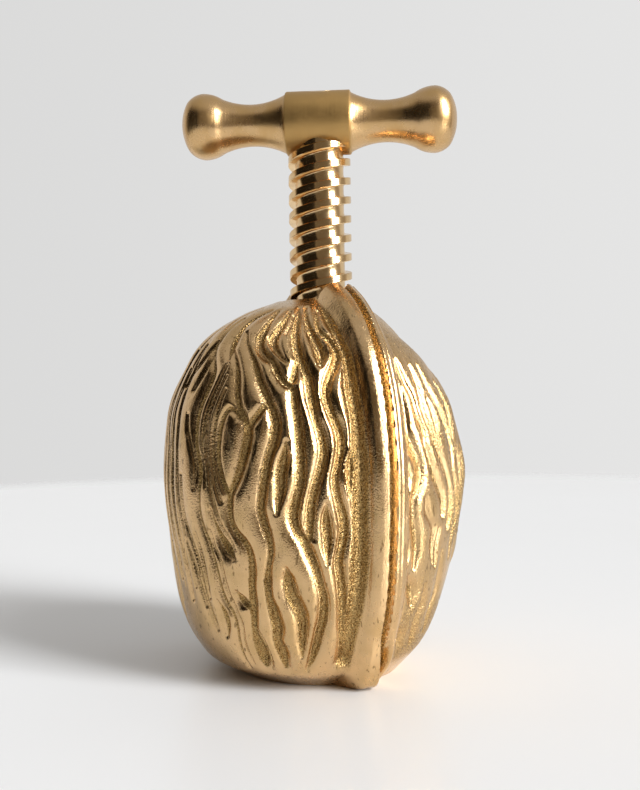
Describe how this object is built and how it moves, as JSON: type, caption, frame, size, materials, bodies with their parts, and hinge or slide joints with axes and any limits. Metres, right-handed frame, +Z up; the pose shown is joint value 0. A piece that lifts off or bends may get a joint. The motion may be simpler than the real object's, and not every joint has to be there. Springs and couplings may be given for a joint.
{
  "type": "screw nutcracker",
  "caption": "Walnut-shaped brass nutcracker: hollow cast shell with a nut window in the back, and a coarse-threaded screw with a tee handle that presses a pad down on the nut.",
  "frame": {"origin": "on the screw axis, at the flat base the nutcracker stands on", "axes": "+Z up along the screw; -Y is the closed seam of the shell, +Y the nut window; X runs cheek to cheek"},
  "size_m": [0.0609, 0.0661, 0.1165],
  "materials": {
    "cast_brass": "cast, satin polished on the high lands, rough in the grooves",
    "polished_brass": "turned and polished",
    "screw_brass": "machined, satin"
  },
  "bodies": {
    "shell": {"walnut_body": "cast_brass", "threaded_bush": "screw_brass"},
    "pad": {"pressure_pad": "screw_brass"},
    "screw": {"screw_spindle": "screw_brass", "tee_handle": "polished_brass", "handle_screw": "screw_brass", "pad_screw": "screw_brass"}
  },
  "joints": [
    {"name": "pad_travel", "type": "slide", "parent": "shell", "child": "pad", "axis": [0, 0, 1], "range_m": [-0.026, 0.009]},
    {"name": "screw_turn", "type": "hinge", "parent": "pad", "child": "screw", "pos_m": [0, 0, 0.1], "axis": [0, 0, 1], "range_deg": [-1220, 425]}
  ],
  "couplings": [
    {"joint": "screw_turn", "follows": "pad_travel", "rad_per_m": 816}
  ]
}
